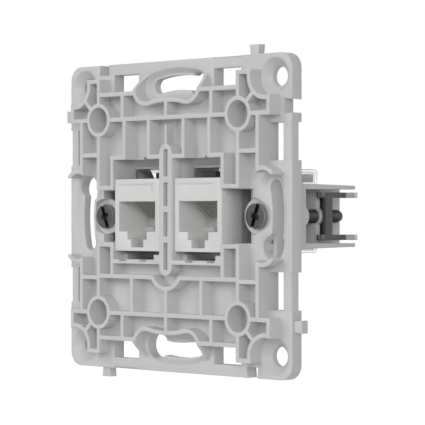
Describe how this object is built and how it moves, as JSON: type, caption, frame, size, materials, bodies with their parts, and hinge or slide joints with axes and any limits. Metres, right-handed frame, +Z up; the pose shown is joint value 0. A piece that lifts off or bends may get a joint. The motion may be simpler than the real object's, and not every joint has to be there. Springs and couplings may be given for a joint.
{
  "type": "ethernet socket insert",
  "caption": "Flush-mounting insert: ribbed plastic support frame with modular network sockets, rear cable clamps under clear dust covers, and screw-driven spreader claws.",
  "frame": {"origin": "centre of the support frame in the plane of the wall", "axes": "+Y into the wall, +Z up, +X to the right seen from the front"},
  "size_m": [0.0752, 0.0352, 0.0752],
  "materials": {
    "frame_plastic": "fine satin moulded grey plastic",
    "socket_plastic": "smooth near-white moulded plastic",
    "carrier_plastic": "smooth near-white moulded plastic",
    "contact_metal": "plated spring wire",
    "board": "green solder mask",
    "block_plastic": "grey moulded plastic",
    "blade_metal": "bright tin plating",
    "clear_cover": "clear polished plastic",
    "screw_steel": "dark passivated steel",
    "claw_steel": "dark zinc-coated steel sheet"
  },
  "bodies": {
    "support": {"support_frame": "frame_plastic", "socket_housing_left": "socket_plastic", "contact_carrier_left": "carrier_plastic", "circuit_board_left": "board", "clamp_block_left": "block_plastic", "dust_cover_left": "clear_cover", "contact_wire_1_left": "contact_metal", "contact_wire_2_left": "contact_metal", "contact_wire_3_left": "contact_metal", "contact_wire_4_left": "contact_metal", "contact_wire_5_left": "contact_metal", "contact_wire_6_left": "contact_metal", "contact_wire_7_left": "contact_metal", "contact_wire_8_left": "contact_metal", "clamp_blade_1_left": "blade_metal", "clamp_blade_2_left": "blade_metal", "clamp_blade_3_left": "blade_metal", "clamp_blade_4_left": "blade_metal", "clamp_blade_5_left": "blade_metal", "clamp_blade_6_left": "blade_metal", "clamp_blade_7_left": "blade_metal", "clamp_blade_8_left": "blade_metal", "socket_housing_right": "socket_plastic", "contact_carrier_right": "carrier_plastic", "circuit_board_right": "board", "clamp_block_right": "block_plastic", "dust_cover_right": "clear_cover", "contact_wire_1_right": "contact_metal", "contact_wire_2_right": "contact_metal", "contact_wire_3_right": "contact_metal", "contact_wire_4_right": "contact_metal", "contact_wire_5_right": "contact_metal", "contact_wire_6_right": "contact_metal", "contact_wire_7_right": "contact_metal", "contact_wire_8_right": "contact_metal", "clamp_blade_1_right": "blade_metal", "clamp_blade_2_right": "blade_metal", "clamp_blade_3_right": "blade_metal", "clamp_blade_4_right": "blade_metal", "clamp_blade_5_right": "blade_metal", "clamp_blade_6_right": "blade_metal", "clamp_blade_7_right": "blade_metal", "clamp_blade_8_right": "blade_metal"},
    "screw_left": {"claw_screw_left": "screw_steel"},
    "claw_left": {"spreader_claw_left": "claw_steel"},
    "screw_right": {"claw_screw_right": "screw_steel"},
    "claw_right": {"spreader_claw_right": "claw_steel"}
  },
  "joints": [
    {"name": "claw_screw_turn_left", "type": "hinge", "parent": "support", "child": "screw_left", "pos_m": [-0.0241, 0, 0], "axis": [0, 1, 0], "range_deg": [-3600.1, 360.1]},
    {"name": "claw_slide_left", "type": "slide", "parent": "support", "child": "claw_left", "axis": [0, -1, 0], "range_m": [-0.005, 0.0005]},
    {"name": "claw_screw_turn_right", "type": "hinge", "parent": "support", "child": "screw_right", "pos_m": [0.0241, 0, 0], "axis": [0, 1, 0], "range_deg": [-3600.1, 360.1]},
    {"name": "claw_slide_right", "type": "slide", "parent": "support", "child": "claw_right", "axis": [0, -1, 0], "range_m": [-0.005, 0.0005]}
  ],
  "couplings": [
    {"joint": "claw_screw_turn_left", "follows": "claw_slide_left", "rad_per_m": 12566},
    {"joint": "claw_screw_turn_right", "follows": "claw_slide_right", "rad_per_m": 12566}
  ]
}
